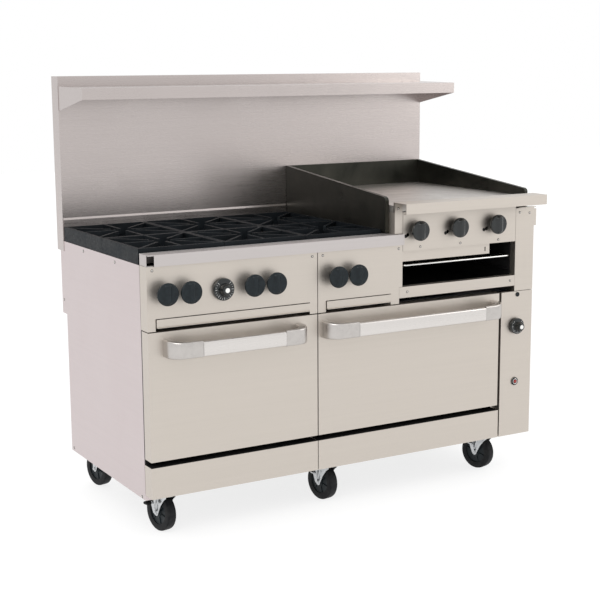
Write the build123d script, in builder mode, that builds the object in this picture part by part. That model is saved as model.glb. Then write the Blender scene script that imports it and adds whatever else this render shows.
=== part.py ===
from build123d import *
import math
import os

os.makedirs("parts", exist_ok=True)

# ---------------------------------------------------------------------------
# Driving dimensions.  Stations are in inches, the unit the range is laid out
# in; everything is turned into millimetres by sx, sy and sz below.
#   X station: 0 = left end of the body, 60 = right end
#   Y station: 0 = plane of the doors and control panels, + towards the back
#   Z station: 0 = floor
# ---------------------------------------------------------------------------
IN = 25.4
BODY_W = 60.0            # body width
SHEET = 0.06             # stainless sheet thickness
Y_FRONT = -2.70          # foremost face: griddle ledge and door handles
Y_REAR = 30.93           # rear face of the riser
X_LEFT = -0.08           # outermost screw heads, left side
X_RIGHT = 60.40          # griddle side cover, right side
Y_POD = 2.05             # depth of the door, kick and control panel pods
Y_FACE = 2.13            # front edge of the side panels / oven face frames
Z_BASE = 5.90            # underside of the body
Z_KICK = 9.92            # top of the kick panels
Z_DOOR0, Z_DOOR1 = 10.67, 27.04
Z_PANEL0, Z_PANEL1 = 27.18, 35.21
Z_LEDGE0, Z_LEDGE1 = 35.23, 36.67
Y_LEDGE = -0.42
Z_GRATE0, Z_GRATE1 = 35.25, 37.18
Z_RISER0, Z_RISER1 = 33.80, 57.76
Y_RISER = 28.48
Z_SHELF0, Z_SHELF1, Y_SHELF = 54.75, 56.27, 19.42
X_S1 = 24.05             # joint between the 24 in and the 36 in ovens
X_S2 = 37.39             # left edge of the griddle and broiler section
X_COL = 54.44            # left edge of the oven control column
X_POST = 56.70           # left edge of the griddle post
HINGE_Y, HINGE_Z = 0.95, 11.00
WHEEL_R, WHEEL_W, TRAIL = 2.50, 1.25, 1.30
CASTERS = {              # name: (x, y, swivel angle in degrees)
    "front_left": (3.50, 3.45, 11.0),
    "front_middle": (27.75, 3.45, 10.0),
    "front_right": (55.00, 3.85, 15.0),
    "rear_left": (3.60, 25.20, 12.0),
    "rear_middle": (27.75, 25.20, -3.0),
    "rear_right": (55.00, 25.20, -6.0),
}
BURNER_KNOBS = [(2.17, 31.88), (5.31, 31.86), (14.09, 31.92), (17.24, 31.92), (26.45, 31.92), (29.51, 31.93)]
GRIDDLE_KNOBS = [(39.62, 37.04), (46.22, 37.03), (52.80, 37.05)]
THERMO_LEFT = (10.22, 31.65)
THERMO_RIGHT = (57.05, 22.06)
BUTTON = (57.09, 13.86)
PILOT_HOLES = [(38.17, 36.46), (44.83, 36.46), (51.51, 36.46)]
GRATE_X = [(0.02, 11.80), (11.86, 23.64), (23.70, 35.44)]
GRATE_Y = [(2.42, 14.17), (14.23, 28.28)]

XC = (X_LEFT + X_RIGHT) / 2
YC = (Y_FRONT + Y_REAR) / 2


def sx(x):
    return (x - XC) * IN


def sy(y):
    return (y - YC) * IN


def sz(z):
    return z * IN


def block(x0, x1, y0, y1, z0, z1, mode=Mode.ADD):
    """A rectangular block between stations, added to the open part."""
    with Locations((sx((x0 + x1) / 2), sy((y0 + y1) / 2), sz((z0 + z1) / 2))):
        Box(abs(x1 - x0) * IN, abs(y1 - y0) * IN, abs(z1 - z0) * IN, mode=mode)


def prism_x(points, x0, x1, mode=Mode.ADD):
    """A profile drawn across the range (Y, Z stations), run from x0 to x1."""
    with BuildSketch(Plane.YZ.offset(sx(x0)), mode=Mode.PRIVATE) as sk:
        with BuildLine():
            Polyline([(sy(y), sz(z)) for y, z in points], close=True)
        make_face()
    extrude(sk.sketch, amount=(x1 - x0) * IN, mode=mode)


def prism_z(points, z0, z1, mode=Mode.ADD):
    """A profile drawn in plan (X, Y stations), run from z0 up to z1."""
    with BuildSketch(Plane.XY.offset(sz(z0)), mode=Mode.PRIVATE) as sk:
        with BuildLine():
            Polyline([(sx(x), sy(y)) for x, y in points], close=True)
        make_face()
    extrude(sk.sketch, amount=(z1 - z0) * IN, mode=mode)


def rod_y(x, z, y0, y1, r_mm, mode=Mode.ADD):
    """A round bar along Y."""
    with BuildSketch(Plane(origin=(sx(x), sy(y1), sz(z)), x_dir=(1, 0, 0), z_dir=(0, -1, 0)), mode=Mode.PRIVATE) as sk:
        Circle(r_mm)
    extrude(sk.sketch, amount=(y1 - y0) * IN, mode=mode)


def rod_x(y, z, x0, x1, r_mm, mode=Mode.ADD):
    """A round bar along X."""
    with BuildSketch(Plane(origin=(sx(x0), sy(y), sz(z)), x_dir=(0, 1, 0), z_dir=(1, 0, 0)), mode=Mode.PRIVATE) as sk:
        Circle(r_mm)
    extrude(sk.sketch, amount=(x1 - x0) * IN, mode=mode)


def rod_z(x, y, z0, z1, r_mm, mode=Mode.ADD):
    """A round bar along Z."""
    with BuildSketch(Plane(origin=(sx(x), sy(y), sz(z0)), x_dir=(1, 0, 0), z_dir=(0, 0, 1)), mode=Mode.PRIVATE) as sk:
        Circle(r_mm)
    extrude(sk.sketch, amount=(z1 - z0) * IN, mode=mode)


def save(builder, name):
    builder.part.label = name
    export_step(builder.part, f"parts/{name}.step")


T = SHEET
INLET = (2.20, 31.92)    # rear gas inlet pipe, X and Z stations
INLET_Y1 = 30.80         # its free end
INLET_R_MM = 13.335      # 3/4 in pipe end, 26.67 mm across
INLET_LEN = 22.0 / IN    # length of the pipe end that takes the hose nut

# ---------------------------------------------------------------------------
# Base frame: front, rear and end rails with a cross member, set with narrow
# weld gaps, the door hinge lugs, and the six caster plates with kingpins.
# ---------------------------------------------------------------------------
LUGS = [1.05, 22.70, 25.15, 52.75]
LUG_W = 0.25
PIN_MM = 4.0
with BuildPart() as base_frame:
    block(T, BODY_W - T, 2.25, 3.80, Z_BASE, 7.90)
    block(T, BODY_W - T, 26.60, 28.18, Z_BASE, 7.90)
    for x0, x1 in ((T, 1.60), (26.95, 28.55), (58.40, BODY_W - T)):
        block(x0, x1, 3.82, 26.58, Z_BASE, 7.90)
    for lx in LUGS:
        prism_x([(0.95, 10.74), (2.13, 9.97), (2.13, 10.62), (1.10, 11.22), (0.80, 11.22), (0.72, 11.00), (0.80, 10.80)], lx, lx + LUG_W)
        rod_x(HINGE_Y, HINGE_Z, lx - 0.01, lx + LUG_W + 0.01, PIN_MM + 0.05, mode=Mode.SUBTRACT)
    for cx, cy, ang in CASTERS.values():
        block(cx - 2.08, cx + 2.08, cy - 2.05, cy + 2.05, 5.65, Z_BASE - 0.01)
        rod_z(cx, cy, 5.00, 5.65, 6.0)
        rod_z(cx, cy, 4.89, 5.00, 9.0)
save(base_frame, "base_frame")

# Outer side sheets, each with a front flange turned in behind the pods.
SIDE = [(Y_FACE, 5.20), (28.30, 5.20), (28.30, 24.90), (29.90, 24.90), (29.90, 35.19), (Y_FACE, 35.19)]
with BuildPart() as side_panel_left:
    prism_x(SIDE, 0.0, T)
    block(T, 1.0, Y_FACE, Y_FACE + T, 5.20, 35.19)
    block(T, 0.6, Y_FACE + T, 28.24, 35.13, 35.19)
save(side_panel_left, "side_panel_left")

with BuildPart() as side_panel_right:
    prism_x(SIDE, BODY_W - T, BODY_W)
    block(59.0, BODY_W - T, Y_FACE, Y_FACE + T, 5.20, 35.19)
save(side_panel_right, "side_panel_right")

# Rear sheet, stepped out above the ovens to make the flue space.
with BuildPart() as back_panel:
    prism_x([(28.18, Z_BASE), (28.24, Z_BASE), (28.24, 24.90), (29.84, 24.90), (29.84, 35.10), (29.78, 35.10), (29.78, 24.96), (28.18, 24.96)], T, BODY_W - T)
    rod_y(INLET[0], INLET[1], 29.7, 29.9, INLET_R_MM + 1.5, mode=Mode.SUBTRACT)
save(back_panel, "back_panel")

# Riser: hollow flue box, open at the bottom, with side and rear skirts that
# lap over the body, and a folded trim along its foot behind the grates.
with BuildPart() as back_riser:
    block(-T, BODY_W + T, Y_RISER, Y_REAR, 35.25, Z_RISER1)
    block(0.0, BODY_W, Y_RISER + T, Y_REAR - T, 35.25, Z_RISER1 - T, mode=Mode.SUBTRACT)
    block(-T, 0.0, Y_RISER, Y_REAR, Z_RISER0, 35.25)
    block(BODY_W, BODY_W + T, Y_RISER, Y_REAR, Z_RISER0, 35.25)
    block(-T, BODY_W + T, Y_REAR - T, Y_REAR, Z_RISER0, 35.25)
    prism_x([(28.40, 35.30), (Y_RISER, 35.30), (Y_RISER, 38.38), (28.40, 38.10)], 0.02, 35.40)
    for i in range(12):
        block(3.0 + 4.6 * i, 6.2 + 4.6 * i, Y_REAR - 2 * T, Y_REAR + 0.01, 55.2, 56.0, mode=Mode.SUBTRACT)
save(back_riser, "back_riser")

# High shelf: top sheet with a front lip and two end brackets.
with BuildPart() as high_shelf:
    prism_x([(Y_SHELF, Z_SHELF0), (20.00, Z_SHELF0), (20.00, Z_SHELF0 + T), (Y_SHELF + T, Z_SHELF0 + T), (Y_SHELF + T, Z_SHELF1 - T), (28.42, 56.40 - T), (28.42, 53.60), (Y_RISER, 53.60), (Y_RISER, 56.42), (Y_SHELF, Z_SHELF1)], 0.0, BODY_W)
    for x0, x1 in ((0.0, T), (BODY_W - T, BODY_W)):
        prism_x([(Y_SHELF, Z_SHELF0), (Y_RISER, 53.06), (Y_RISER, 56.42), (Y_SHELF, Z_SHELF1)], x0, x1)
save(high_shelf, "high_shelf")


def oven_liner(cav0, cav1, face0, face1):
    """Oven cavity with its front face frame and rack ledges."""
    block(cav0 - T, cav1 + T, Y_FACE, 27.96, 11.84, 25.96)
    block(face0, face1, Y_FACE, Y_FACE + T, 9.97, 27.08)
    block(cav0, cav1, Y_FACE - 0.1, 27.90, 11.90, 25.90, mode=Mode.SUBTRACT)
    for z in (15.0, 17.92, 21.0):
        block(cav0, cav0 + 0.55, 3.4, 27.4, z, z + T)
        block(cav1 - 0.55, cav1, 3.4, 27.4, z, z + T)


with BuildPart() as oven_liner_left:
    oven_liner(2.0, 22.0, 1.02, X_S1 + 0.02)
save(oven_liner_left, "oven_liner_left")

with BuildPart() as oven_liner_right:
    oven_liner(25.88, 52.26, X_S1 + 0.06, 58.96)
save(oven_liner_right, "oven_liner_right")


def wire_rack(x0, x1, y0, y1, z, wires, rod=0.24, wire=0.14):
    """Chromed wire rack: a rectangular rim, front-to-back wires, two stays."""
    block(x0, x1, y0, y1, z, z + rod)
    block(x0 + rod, x1 - rod, y0 + rod, y1 - rod, z - 0.1, z + rod + 0.1, mode=Mode.SUBTRACT)
    step = (x1 - x0) / (wires + 1)
    for i in range(1, wires + 1):
        block(x0 + i * step - wire / 2, x0 + i * step + wire / 2, y0 + rod / 2, y1 - rod / 2, z + 0.05, z + 0.05 + wire)
    for f in (0.33, 0.67):
        yy = y0 + f * (y1 - y0)
        block(x0 + rod / 2, x1 - rod / 2, yy - 0.1, yy + 0.1, z, z + 0.12)


with BuildPart() as oven_rack_left:
    wire_rack(2.16, 21.84, 3.70, 26.90, 18.00, 12)
save(oven_rack_left, "oven_rack_left")

with BuildPart() as oven_rack_right:
    wire_rack(26.04, 52.10, 3.70, 26.90, 18.00, 17)
save(oven_rack_right, "oven_rack_right")

with BuildPart() as broiler_rack:
    wire_rack(37.85, 56.20, 0.42, 25.00, 32.12, 13)
save(broiler_rack, "broiler_rack")


# ---------------------------------------------------------------------------
# Oven doors: folded outer skin, inner liner carrying the hinge pins, and a
# handle made of two cast ends with a grip bar between them.
# ---------------------------------------------------------------------------
def door_skin(x0, x1, lugs):
    block(x0, x1, 0.0, 1.93, Z_DOOR0, Z_DOOR1)
    block(x0 + T, x1 - T, T, 2.10, Z_DOOR0 + T, Z_DOOR1 - T, mode=Mode.SUBTRACT)
    for lx in lugs:
        block(lx - 0.12, lx + LUG_W + 0.12, T, 2.10, Z_DOOR0 - 0.1, Z_DOOR0 + 2 * T, mode=Mode.SUBTRACT)


def door_liner(x0, x1, p0, p1, lugs):
    block(x0, x1, 1.95, 2.03, Z_DOOR0, Z_DOOR1)
    prism_x([(2.03, 12.35), (2.60, 12.75), (2.60, 25.10), (2.03, 25.50)], p0, p1)
    prism_x([(1.90, 12.45), (2.50, 12.83), (2.50, 25.02), (1.90, 25.40)], p0 + 0.1, p1 - 0.1, mode=Mode.SUBTRACT)
    for lx in lugs:
        block(lx - 0.12, lx + LUG_W + 0.12, 1.90, 2.10, Z_DOOR0 - 0.1, 11.45, mode=Mode.SUBTRACT)
        for c0, c1 in ((lx - 0.37, lx - 0.14), (lx + LUG_W + 0.14, lx + LUG_W + 0.37)):
            prism_x([(0.70, 10.76), (1.95, 10.76), (1.95, 12.30), (1.55, 12.30), (0.70, 11.30)], c0, c1)
        rod_x(HINGE_Y, HINGE_Z, lx - 0.30, lx + LUG_W + 0.30, PIN_MM)


def handle_plan(x_out, x_in, n=9):
    """Plan of a cast handle end: it sweeps from the door out to the grip."""
    d = 1 if x_in > x_out else -1
    outer = [(x_out + d * 2.0 * (1 - math.cos(a)), -0.7 - 1.96 * math.sin(a)) for a in [math.pi / 2 * i / n for i in range(n + 1)]]
    inner = [(x_out + d * (1.05 + 1.75 * (1 - math.cos(a))), -0.7 - 1.36 * math.sin(a)) for a in [math.pi / 2 * i / n for i in range(n + 1)]]
    return [(x_out, 0.0)] + outer + [(x_in, Y_FRONT + 0.02), (x_in, -2.10)] + inner[::-1] + [(x_out + d * 1.05, 0.0)]


def door_handle(o0, j0, j1, o1):
    prism_z(handle_plan(o0, j0), 23.85, 26.15)
    prism_z(handle_plan(o1, j1), 23.85, 26.15)
    prism_x([(-2.70, 24.05), (-2.60, 23.92), (-2.20, 23.92), (-2.06, 24.10), (-2.06, 25.62), (-2.20, 25.82), (-2.60, 25.82), (-2.70, 25.68)], j0 + 0.012, j1 - 0.012)


LEFT_DOOR = (0.02, 23.98)
RIGHT_DOOR = (24.12, 54.03)
with BuildPart() as oven_door_left_skin:
    door_skin(*LEFT_DOOR, LUGS[:2])
save(oven_door_left_skin, "oven_door_left_skin")

with BuildPart() as oven_door_left_liner:
    door_liner(*LEFT_DOOR, 2.5, 21.5, LUGS[:2])
save(oven_door_left_liner, "oven_door_left_liner")

with BuildPart() as oven_door_left_handle:
    door_handle(1.95, 6.20, 17.90, 21.70)
save(oven_door_left_handle, "oven_door_left_handle")

with BuildPart() as oven_door_right_skin:
    door_skin(*RIGHT_DOOR, LUGS[2:])
save(oven_door_right_skin, "oven_door_right_skin")

with BuildPart() as oven_door_right_liner:
    door_liner(*RIGHT_DOOR, 26.4, 51.75, LUGS[2:])
save(oven_door_right_liner, "oven_door_right_liner")

with BuildPart() as oven_door_right_handle:
    door_handle(24.50, 28.87, 49.70, 53.40)
save(oven_door_right_handle, "oven_door_right_handle")

# Kick panels below the doors.
with BuildPart() as kick_panels:
    for x0, x1 in ((0.0, 24.0), (24.10, 54.22)):
        block(x0, x1, 0.0, Y_POD, Z_BASE, Z_KICK)
        block(x0 + T, x1 - T, T, Y_POD + 0.1, Z_BASE - 0.1, Z_KICK - T, mode=Mode.SUBTRACT)
        block(x0 + T, x1 - T, 1.00, Y_POD + 0.1, Z_KICK - 2 * T, Z_KICK + 0.1, mode=Mode.SUBTRACT)
save(kick_panels, "kick_panels")


def panel_pod(x0, x1, z0, z1, depth=Y_POD, lips=0.7):
    """Folded front panel: face, two side returns, and top and bottom lips."""
    block(x0, x1, 0.0, depth, z0, z1)
    block(x0 + T, x1 - T, T, depth + 0.1, z0 + T, z1 - T, mode=Mode.SUBTRACT)
    block(x0 + T, x1 - T, lips, depth + 0.1, z0 - 0.1, z1 + 0.1, mode=Mode.SUBTRACT)


STEM_MM = 3.0
with BuildPart() as control_panel_left:
    panel_pod(0.0, 24.0, Z_PANEL0, Z_PANEL1)
    block(1.05, 22.86, -0.1, 1.0, 27.0, 28.72, mode=Mode.SUBTRACT)
    for kx, kz in BURNER_KNOBS[:4] + [THERMO_LEFT]:
        rod_y(kx, kz, -0.2, 0.3, 6.0, mode=Mode.SUBTRACT)
save(control_panel_left, "control_panel_left")

with BuildPart() as control_panel_middle:
    panel_pod(24.10, X_S2 - 0.02, Z_PANEL0, Z_PANEL1)
    block(36.86, 38.0, -0.1, 2.2, Z_PANEL0 - 0.1, 29.45, mode=Mode.SUBTRACT)
    block(25.30, 35.50, -0.1, 1.0, 27.0, 28.70, mode=Mode.SUBTRACT)
    for kx, kz in BURNER_KNOBS[4:]:
        rod_y(kx, kz, -0.2, 0.3, 6.0, mode=Mode.SUBTRACT)
save(control_panel_middle, "control_panel_middle")

with BuildPart() as landing_ledge:
    prism_x([(Y_LEDGE, Z_LEDGE0), (0.60, Z_LEDGE0), (0.60, Z_LEDGE0 + T), (Y_LEDGE + T, Z_LEDGE0 + T), (Y_LEDGE + T, Z_LEDGE1 - T), (1.94, Z_LEDGE1 - T), (1.94, 35.35), (2.00, 35.35), (2.00, Z_LEDGE1), (Y_LEDGE, Z_LEDGE1)], 0.0, 37.38)
    block(0.0, T, 0.02, 2.0, Z_LEDGE0 + 0.02, Z_LEDGE1)
    block(37.32, 37.38, 0.02, 2.0, Z_LEDGE0 + 0.02, Z_LEDGE1)
    block(-0.1, 0.88, -0.5, -0.02, 35.1, 36.55, mode=Mode.SUBTRACT)
save(landing_ledge, "landing_ledge")


def crumb_tray(x0, x1, z0, z1, y1):
    """Shallow pan with a finger lip along its front."""
    block(x0, x1, -0.16, y1, z0, z1)
    block(x0 + T, x1 - T, -0.10, y1 - T, z0 + T, z1 + 0.1, mode=Mode.SUBTRACT)
    block(x0, x1, -0.36, -0.16, z0, z0 + T)


with BuildPart() as crumb_tray_left:
    crumb_tray(1.14, 22.78, 27.60, 28.64, 25.0)
save(crumb_tray_left, "crumb_tray_left")

with BuildPart() as crumb_tray_middle:
    crumb_tray(25.38, 35.42, 27.60, 28.62, 25.0)
save(crumb_tray_middle, "crumb_tray_middle")

# Support deck that carries the burners and the grates, one hole a burner.
with BuildPart() as burner_support:
    block(T, 35.38, 2.28, 28.16, 34.88, 35.10)
    for gx0, gx1 in GRATE_X:
        for gy0, gy1 in GRATE_Y:
            rod_z((gx0 + gx1) / 2, (gy0 + gy1) / 2, 34.2, 35.2, 2.70 * IN, mode=Mode.SUBTRACT)
save(burner_support, "burner_support")


def grate(x0, x1, y0, y1):
    """Cast top grate: skirt, bowl floor with a burner hole, star fingers."""
    cx, cy = (x0 + x1) / 2, (y0 + y1) / 2
    w, d = x1 - x0, y1 - y0
    block(x0, x1, y0, y1, Z_GRATE0, Z_GRATE1)
    block(x0 + 0.40, x1 - 0.40, y0 + 0.40, y1 - 0.40, Z_GRATE0 + 0.22, Z_GRATE1 + 0.1, mode=Mode.SUBTRACT)
    rod_z(cx, cy, Z_GRATE0 - 0.1, Z_GRATE0 + 0.5, 2.9 * IN, mode=Mode.SUBTRACT)
    for k in range(8):
        a = math.pi / 4 * k
        reach = (w / 2 - 0.2) / max(abs(math.cos(a)), 1e-6)
        reach = min(reach, (d / 2 - 0.2) / max(abs(math.sin(a)), 1e-6))
        inner = 1.15 if k % 2 == 0 else 1.85
        ux, uy = math.cos(a), math.sin(a)
        hw = 0.19
        prism_z([(cx + ux * inner - uy * hw, cy + uy * inner + ux * hw), (cx + ux * inner + uy * hw, cy + uy * inner - ux * hw),
                 (cx + ux * reach + uy * hw, cy + uy * reach - ux * hw), (cx + ux * reach - uy * hw, cy + uy * reach + ux * hw)], 36.50, Z_GRATE1)


with BuildPart() as top_grates_front:
    for gx0, gx1 in GRATE_X:
        grate(gx0, gx1, *GRATE_Y[0])
save(top_grates_front, "top_grates_front")

with BuildPart() as top_grates_rear:
    for gx0, gx1 in GRATE_X:
        grate(gx0, gx1, *GRATE_Y[1])
save(top_grates_rear, "top_grates_rear")

# Gas burners: six open-top heads with their mixing tubes, three U burners
# under the griddle plate, two straight tubes under the oven floors.
with BuildPart() as gas_burners:
    for gx0, gx1 in GRATE_X:
        cx = (gx0 + gx1) / 2
        for row, (gy0, gy1) in enumerate(GRATE_Y):
            cy = (gy0 + gy1) / 2
            tx = cx - 1.1 + 2.2 * row
            rod_z(cx, cy, 35.20, 35.95, 2.30 * IN)
            rod_z(cx, cy, 35.60, 36.05, 1.00 * IN, mode=Mode.SUBTRACT)
            rod_z(cx, cy, 33.30, 35.20, 0.70 * IN)
            block(min(tx, cx) - 0.3, max(tx, cx) + 0.3, cy - 0.5, cy + 0.5, 33.20, 33.90)
            rod_y(tx, 33.55, 4.6, cy, 0.34 * IN)
    for cx in (40.9, 48.0, 54.6):
        for dx in (-1.35, 1.35):
            rod_y(cx + dx, 38.55, 4.0, 26.0, 0.40 * IN)
        block(cx - 1.75, cx + 1.75, 25.4, 26.2, 38.20, 38.90)
    for cx in (12.0, 39.0):
        rod_y(cx, 10.75, 4.0, 25.0, 0.55 * IN)
save(gas_burners, "gas_burners")

# Gas piping and controls: manifold, valve bodies and stems, two oven
# thermostats and the safety valve body behind the push button.
with BuildPart() as gas_manifold:
    rod_x(3.45, 31.92, INLET[0], 36.70, 0.50 * IN)
    rod_y(INLET[0], INLET[1], 3.50, INLET_Y1 - INLET_LEN, 14.2)
    rod_y(INLET[0], INLET[1], INLET_Y1 - INLET_LEN, INLET_Y1, INLET_R_MM)
    block(INLET[0] - 0.65, INLET[0] + 0.65, 2.80, 4.10, INLET[1] - 0.65, INLET[1] + 0.65)
    rod_z(36.70, 3.45, 31.92, 37.08, 0.38 * IN)
    block(36.18, 37.26, 2.86, 4.04, 31.36, 32.48)
    block(36.18, 37.26, 2.86, 4.04, 36.52, 37.64)
    rod_x(3.45, 37.08, 36.70, 54.0, 0.42 * IN)
    for kx, kz in BURNER_KNOBS + [THERMO_LEFT] + GRIDDLE_KNOBS:
        block(kx - 0.45, kx + 0.45, 0.45, 3.3, kz - 0.4, kz + 0.4)
    block(THERMO_RIGHT[0] - 0.8, THERMO_RIGHT[0] + 0.8, 0.45, 1.9, THERMO_RIGHT[1] - 1.0, THERMO_RIGHT[1] + 1.0)
    block(BUTTON[0] - 0.8, BUTTON[0] + 0.8, 0.75, 1.9, BUTTON[1] - 1.0, BUTTON[1] + 1.0)
    for kx, kz in BURNER_KNOBS + GRIDDLE_KNOBS + [THERMO_LEFT, THERMO_RIGHT]:
        rod_y(kx, kz, -0.80, 0.45, STEM_MM)
save(gas_manifold, "gas_manifold")


# ---------------------------------------------------------------------------
# Knobs.  Each turns on its valve stem, which enters its blind bore.
# ---------------------------------------------------------------------------
def knob(kx, kz, r, neck, y_back, y_tip, bar):
    """A neck over the stem, a thick disc, and a grip bar across its face."""
    rod_y(kx, kz, y_back, -0.14, neck * IN)
    rod_y(kx, kz, y_tip + 0.30, y_back, r * IN)
    prism_z([(kx - bar / 2, y_tip + 0.30), (kx - bar * 0.38, y_tip), (kx + bar * 0.38, y_tip), (kx + bar / 2, y_tip + 0.30)], kz - r * 0.88, kz + r * 0.88)
    rod_y(kx, kz, -0.90, 0.0, STEM_MM + 0.05, mode=Mode.SUBTRACT)


for i, (kx, kz) in enumerate(BURNER_KNOBS, start=1):
    with BuildPart() as burner_knob:
        knob(kx, kz, 1.42, 0.66, -1.22, -1.88, 0.62)
    save(burner_knob, f"burner_knob_{i}")

for i, (kx, kz) in enumerate(GRIDDLE_KNOBS, start=1):
    with BuildPart() as griddle_knob:
        knob(kx, kz, 1.36, 0.85, -0.75, -1.58, 0.80)
    save(griddle_knob, f"griddle_knob_{i}")


def dial(kx, kz, r):
    """Flat graduated dial with a raised boss and cap."""
    rod_y(kx, kz, -0.60, -0.14, r * IN)
    rod_y(kx, kz, -1.52, -0.60, r * 0.42 * IN)
    rod_y(kx, kz, -0.90, 0.0, STEM_MM + 0.05, mode=Mode.SUBTRACT)


with BuildPart() as thermostat_dial_left:
    dial(*THERMO_LEFT, 1.42)
save(thermostat_dial_left, "thermostat_dial_left")

with BuildPart() as thermostat_dial_right:
    dial(*THERMO_RIGHT, 1.18)
save(thermostat_dial_right, "thermostat_dial_right")

with BuildPart() as safety_button:
    rod_y(*BUTTON, -0.30, 0.50, 0.30 * IN)
save(safety_button, "safety_button")

# Column that holds the right oven's thermostat and safety button.
with BuildPart() as control_column:
    panel_pod(X_COL, BODY_W, Z_BASE, 27.05)
    rod_y(*THERMO_RIGHT, -0.2, 0.3, 6.0, mode=Mode.SUBTRACT)
    rod_y(*BUTTON, -0.12, 0.0, 0.60 * IN)
    rod_y(*BUTTON, -0.2, 0.3, 0.30 * IN + 0.5, mode=Mode.SUBTRACT)
save(control_column, "control_column")

# ---------------------------------------------------------------------------
# Raised griddle and broiler.
# ---------------------------------------------------------------------------
with BuildPart() as griddle_cabinet:
    # left wall, behind the middle control panel and then forward above it
    block(36.08, 37.36, 2.25, 28.14, 27.30, 36.72)
    block(36.08 + T, 37.36 - T, 2.25 + T, 28.5, 27.2, 36.80, mode=Mode.SUBTRACT)
    block(36.08, 37.36, 0.0, 28.14, 36.72, 39.60)
    block(36.08 + T, 37.36 - T, T, 28.5, 36.60, 39.70, mode=Mode.SUBTRACT)
    block(36.08, 37.30, 0.0, T, 39.60, 40.80)
    rod_x(3.45, 37.08, 37.0, 37.6, 0.46 * IN, mode=Mode.SUBTRACT)
    rod_x(3.45, 31.92, 36.0, 36.4, 0.54 * IN, mode=Mode.SUBTRACT)
    # right post with its side cover
    block(X_POST + 0.02, BODY_W, 0.0, Y_POD, 27.12, 38.95)
    block(X_POST + 0.02 + T, BODY_W - T, T, Y_POD + 0.1, 27.0, 39.1, mode=Mode.SUBTRACT)
    block(BODY_W - T, BODY_W, Y_POD, 28.14, 35.25, 38.95)
    block(X_POST + 0.02, X_POST + 0.02 + T, Y_POD, 28.14, 27.30, 38.95)
    block(BODY_W, X_RIGHT, 0.0, 28.14, 36.35, 38.75)
    block(X_POST + 0.6, X_RIGHT, 0.0, 0.9, 38.95, 39.03)
save(griddle_cabinet, "griddle_cabinet")

with BuildPart() as griddle_plate:
    block(36.12, 59.44, 0.40, 28.18, 39.63, 40.50)
save(griddle_plate, "griddle_plate")

with BuildPart() as griddle_guards:
    prism_x([(1.40, 36.74), (28.40, 36.74), (28.40, 44.10), (2.00, 41.62), (1.60, 41.45), (1.40, 41.15)], 35.50, 36.06)
    prism_x([(1.55, 39.10), (28.40, 39.10), (28.40, 44.10), (2.00, 41.55), (1.70, 41.40), (1.55, 41.15)], 59.50, BODY_W)
    block(36.06, 59.50, 28.22, 28.40, 39.10, 44.10)
save(griddle_guards, "griddle_guards")

with BuildPart() as griddle_ledge:
    prism_x([(0.34, 40.52), (0.34, 40.96), (Y_FRONT, 40.96), (Y_FRONT, 39.59), (-2.05, 39.59), (-2.05, 39.65), (Y_FRONT + T, 39.65), (Y_FRONT + T, 40.90), (0.28, 40.90), (0.28, 40.52)], 36.08, BODY_W)
    block(BODY_W - T, BODY_W, Y_FRONT, 0.34, 39.59, 40.96)
save(griddle_ledge, "griddle_ledge")

with BuildPart() as griddle_control_panel:
    panel_pod(X_S2 + 0.03, X_POST - 0.02, 34.30, 39.56, depth=1.4, lips=0.7)
    for kx, kz in GRIDDLE_KNOBS:
        rod_y(kx, kz, -0.2, 0.3, 6.0, mode=Mode.SUBTRACT)
    for hx, hz in PILOT_HOLES:
        rod_y(hx, hz, -0.2, 0.3, 0.25 * IN, mode=Mode.SUBTRACT)
save(griddle_control_panel, "griddle_control_panel")

with BuildPart() as broiler_box:
    block(X_S2 + 0.03, X_POST - 0.04, 1.10, 28.10, 28.20, 34.20)
    block(X_S2 + 0.03 + T, X_POST - 0.04 - T, 1.0, 28.10 - T, 28.20 + T, 34.30, mode=Mode.SUBTRACT)
    for z in (30.2, 32.02):
        block(X_S2 + 0.03 + T, 38.10, 1.4, 26.0, z, z + T)
        block(56.00, X_POST - 0.04 - T, 1.4, 26.0, z, z + T)
    # front rail and the shutter plate above the rack
    block(36.88, X_POST, 0.0, 1.08, 27.92, 29.42)
    block(36.80, X_POST + 0.1, T, 1.08 + 0.1, 27.92 + T, 29.42 - T, mode=Mode.SUBTRACT)
    block(X_S2 + 0.05, 52.70, 0.78, 0.78 + T, 32.76, 34.26)
    block(51.85, 52.02, 0.6, 1.0, 33.15, 33.75, mode=Mode.SUBTRACT)
save(broiler_box, "broiler_box")

# Fasteners: round screw heads on the side sheets and the front panels.
SIDE_SCREWS = [(21.06, 34.66), (10.02, 34.57), (29.24, 26.82), (27.45, 5.67), (3.22, 5.45)]
FRONT_SCREWS = [(0.75, 34.72), (23.25, 34.72), (24.85, 34.72), (36.75, 34.72), (36.65, 40.15), (57.4, 38.35), (59.2, 38.2),
                (40.31, 34.75), (47.04, 34.75), (53.64, 34.75), (38.2, 28.7), (55.9, 28.7)]
with BuildPart() as screws:
    for yy, zz in SIDE_SCREWS:
        rod_x(yy, zz, X_LEFT, 0.0, 0.14 * IN)
        rod_x(yy, zz, BODY_W, BODY_W + 0.08, 0.14 * IN)
    for xx, zz in FRONT_SCREWS:
        rod_y(xx, zz, -0.06, 0.0, 0.11 * IN)
save(screws, "screws")

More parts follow.
